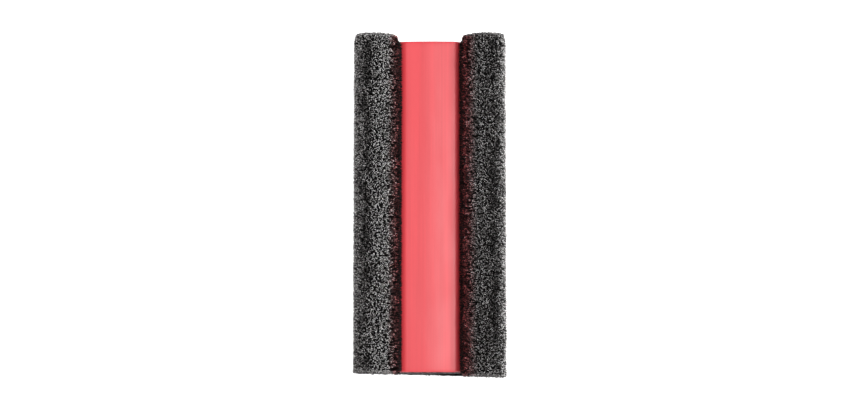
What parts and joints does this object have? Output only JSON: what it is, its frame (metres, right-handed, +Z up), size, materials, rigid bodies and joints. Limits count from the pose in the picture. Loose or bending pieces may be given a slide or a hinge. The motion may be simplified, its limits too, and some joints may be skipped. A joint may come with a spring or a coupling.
{
  "type": "chalkboard eraser",
  "caption": "Block eraser for a chalkboard: dark soft-pile fabric wrapped round a foam core with a lengthwise finger groove, its edges held down by a crowned plastic strip",
  "frame": {"origin": "middle of the underside, which is the erasing face", "axes": "+Z up, from the erasing face to the ridge crests; Y along the length and the finger groove; X across the width"},
  "size_m": [0.057, 0.127, 0.032],
  "materials": {
    "foam": "closed-cell foam, matt, charcoal",
    "glue_film": "dried contact cement, dark brown, satin",
    "backing_cloth": "tight plain-woven ground cloth, matt, near black",
    "pile": "short dense cut pile, charcoal, with fine bright fibre tips",
    "hot_melt": "hot-melt glue, dark amber-brown, satin",
    "strip_plastic": "extruded rigid plastic, glossy, coral red"
  },
  "bodies": {
    "root": {"base_slab": "foam", "left_rail": "foam", "right_rail": "foam", "left_rail_glue": "glue_film", "right_rail_glue": "glue_film", "wrap_glue": "glue_film", "backing_cloth": "backing_cloth", "pile": "pile", "left_edge_bead": "hot_melt", "right_edge_bead": "hot_melt", "left_strip_bead": "hot_melt", "right_strip_bead": "hot_melt", "channel_strip": "strip_plastic"}
  },
  "joints": []
}
